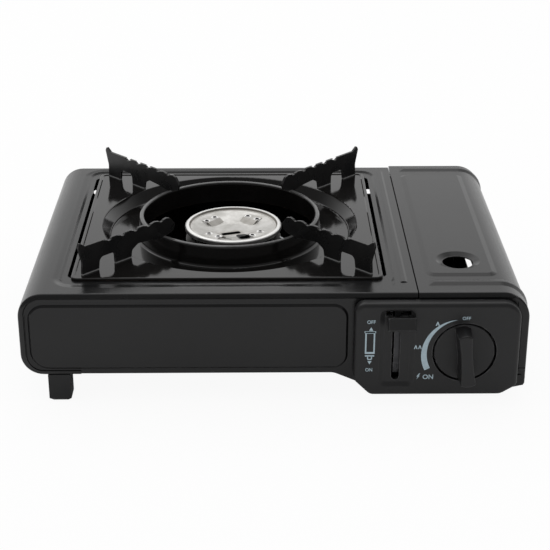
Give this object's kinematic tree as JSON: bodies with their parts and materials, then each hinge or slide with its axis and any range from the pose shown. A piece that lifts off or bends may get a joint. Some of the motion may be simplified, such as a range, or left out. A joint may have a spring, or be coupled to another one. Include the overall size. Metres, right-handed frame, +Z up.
{
  "type": "butane cassette stove",
  "caption": "Portable single-burner gas stove with a lift-off drip pan, pan supports, a hinged cartridge lid, a turn knob and a cartridge lever.",
  "frame": {"origin": "centre of the overall footprint, at floor level", "axes": "+X to the cartridge side, +Y to the rear, away from the knob, +Z up"},
  "size_m": [0.3412, 0.2724, 0.104],
  "materials": {
    "case_coat": "satin black powder coat",
    "pan_enamel": "gloss black enamel",
    "support_enamel": "matt black enamel",
    "burner_bright": "bright pressed",
    "burner_casting": "as cast",
    "panel_plastic": "fine moulded texture",
    "knob_plastic": "fine moulded texture",
    "foot_plastic": "moulded",
    "igniter_plastic": "moulded",
    "zinc_steel": "zinc plated",
    "black_plate": "black plated",
    "regulator_casting": "die-cast",
    "pipe_aluminium": "drawn",
    "brass_fitting": "turned",
    "seal_rubber": "smooth",
    "wire_rubber": "smooth",
    "ceramic": "glazed ceramic"
  },
  "bodies": {
    "case": {"base_tray": "case_coat", "top_shell": "case_coat", "bay_partition": "case_coat", "lid_hinge_pins": "case_coat", "burner_body": "burner_casting", "burner_cap": "burner_bright", "mixing_tube": "zinc_steel", "burner_bracket": "zinc_steel", "spark_electrode": "zinc_steel", "electrode_insulator": "ceramic", "electrode_clip": "zinc_steel", "control_panel": "panel_plastic", "panel_screws": "zinc_steel", "regulator_body": "regulator_casting", "regulator_cover": "zinc_steel", "inlet_seal": "seal_rubber", "cartridge_stop_plate": "zinc_steel", "cartridge_rails": "case_coat", "gas_pipe": "pipe_aluminium", "jet_holder": "brass_fitting", "jet_bracket": "zinc_steel", "spark_igniter": "igniter_plastic", "igniter_wire": "wire_rubber", "lever_pin": "zinc_steel", "lever_bracket": "black_plate", "foot_front_left": "foot_plastic", "foot_front_right": "foot_plastic", "foot_rear_left": "foot_plastic", "foot_rear_right": "foot_plastic", "foot_screws": "zinc_steel"},
    "lid": {"cartridge_lid": "case_coat"},
    "knob": {"knob": "knob_plastic", "valve_spindle": "brass_fitting"},
    "lever": {"lever_head": "panel_plastic", "lever_arm": "black_plate", "crank_pin": "zinc_steel"},
    "pusher": {"push_rod": "zinc_steel", "pusher_plate": "zinc_steel"},
    "pan": {"drip_pan": "pan_enamel", "pan_support_front_left": "support_enamel", "pan_support_front_right": "support_enamel", "pan_support_rear_left": "support_enamel", "pan_support_rear_right": "support_enamel"}
  },
  "joints": [
    {"name": "lid_hinge", "type": "hinge", "parent": "case", "child": "lid", "pos_m": [0.16525, 0, 0.0174], "axis": [0, 1, 0], "range_deg": [0, 95]},
    {"name": "knob_turn", "type": "hinge", "parent": "case", "child": "knob", "pos_m": [0.12585, -0.1216, 0.041], "axis": [0, -1, 0], "range_deg": [0, 125]},
    {"name": "lever_swing", "type": "hinge", "parent": "case", "child": "lever", "pos_m": [0.08025, -0.0672, 0.046], "axis": [1, 0, 0], "range_deg": [0, 34]},
    {"name": "pusher_slide", "type": "slide", "parent": "case", "child": "pusher", "axis": [0, -1, 0], "range_m": [0, 0.00702]},
    {"name": "pan_lift", "type": "slide", "parent": "case", "child": "pan", "axis": [0, 0, 1], "range_m": [0, 0.06]}
  ],
  "couplings": [
    {"joint": "lever_swing", "follows": "pusher_slide", "rad_per_m": 84.569}
  ]
}
